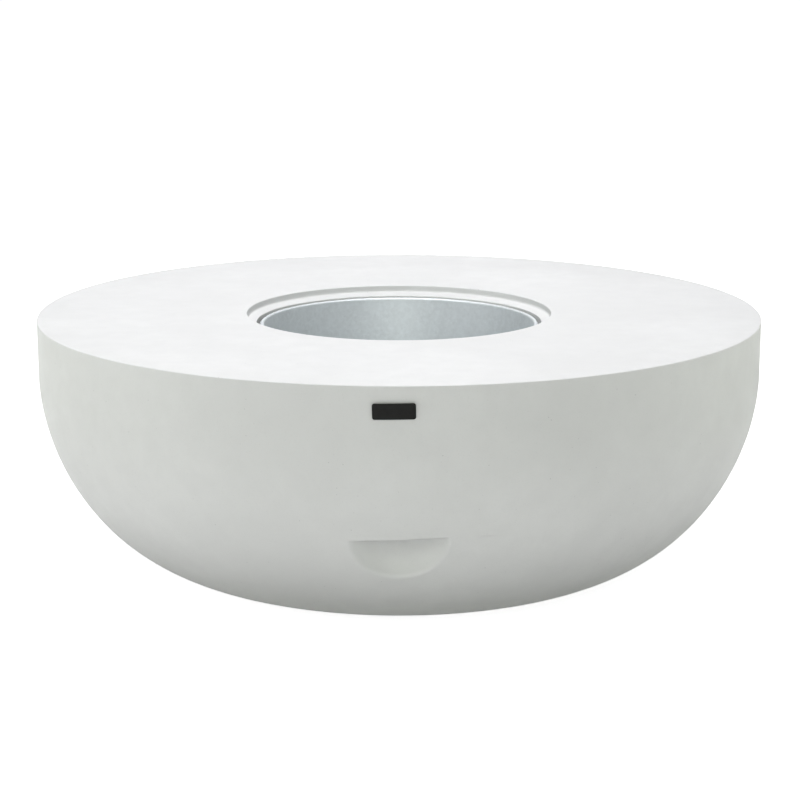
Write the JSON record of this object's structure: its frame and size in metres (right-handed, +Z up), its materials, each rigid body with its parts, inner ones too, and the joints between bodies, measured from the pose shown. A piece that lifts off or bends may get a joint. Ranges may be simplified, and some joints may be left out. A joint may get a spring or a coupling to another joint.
{
  "type": "ice bucket coffee table",
  "caption": "Round bowl-shaped outdoor coffee table cast in pale concrete, with a steel ice bucket that lifts out of the middle of its top and drains through a plug.",
  "frame": {"origin": "on the ground under the centre of the bowl", "axes": "+Z up through the centre of the bucket, -Y towards the front with the small plate and a hand hold, +X to the right seen from the front"},
  "size_m": [1, 1.0029, 0.365],
  "materials": {
    "cast_concrete": "satin",
    "zinc_coated_steel": "satin",
    "stainless_steel": "satin",
    "brass": "satin",
    "black_rubber": "matte",
    "black_plate": "satin",
    "foam_tape": "matte"
  },
  "bodies": {
    "table": {"bowl_shell": "cast_concrete", "bucket_gasket": "black_rubber", "plate_tape": "foam_tape", "front_plate": "black_plate", "foot_pad_1": "black_rubber", "foot_screw_1": "stainless_steel", "foot_insert_1": "brass", "foot_pad_2": "black_rubber", "foot_screw_2": "stainless_steel", "foot_insert_2": "brass", "foot_pad_3": "black_rubber", "foot_screw_3": "stainless_steel", "foot_insert_3": "brass", "foot_pad_4": "black_rubber", "foot_screw_4": "stainless_steel", "foot_insert_4": "brass"},
    "bucket": {"ice_bucket": "zinc_coated_steel", "rim_wire": "stainless_steel", "drain_body": "stainless_steel", "drain_gasket": "black_rubber", "drain_washer": "black_rubber", "drain_nut": "brass"},
    "plug": {"drain_plug": "black_rubber", "plug_eye": "stainless_steel"},
    "pull_ring": {"plug_ring": "stainless_steel"}
  },
  "joints": [
    {"name": "bucket_lift", "type": "slide", "parent": "table", "child": "bucket", "axis": [0, 0, 1], "range_m": [0, 0.26]},
    {"name": "plug_lift", "type": "slide", "parent": "bucket", "child": "plug", "axis": [0, 0, 1], "range_m": [0, 0.22]},
    {"name": "ring_swing", "type": "hinge", "parent": "plug", "child": "pull_ring", "pos_m": [0, 0, 0.1666], "axis": [0, -1, 0], "range_deg": [0, 158]}
  ]
}
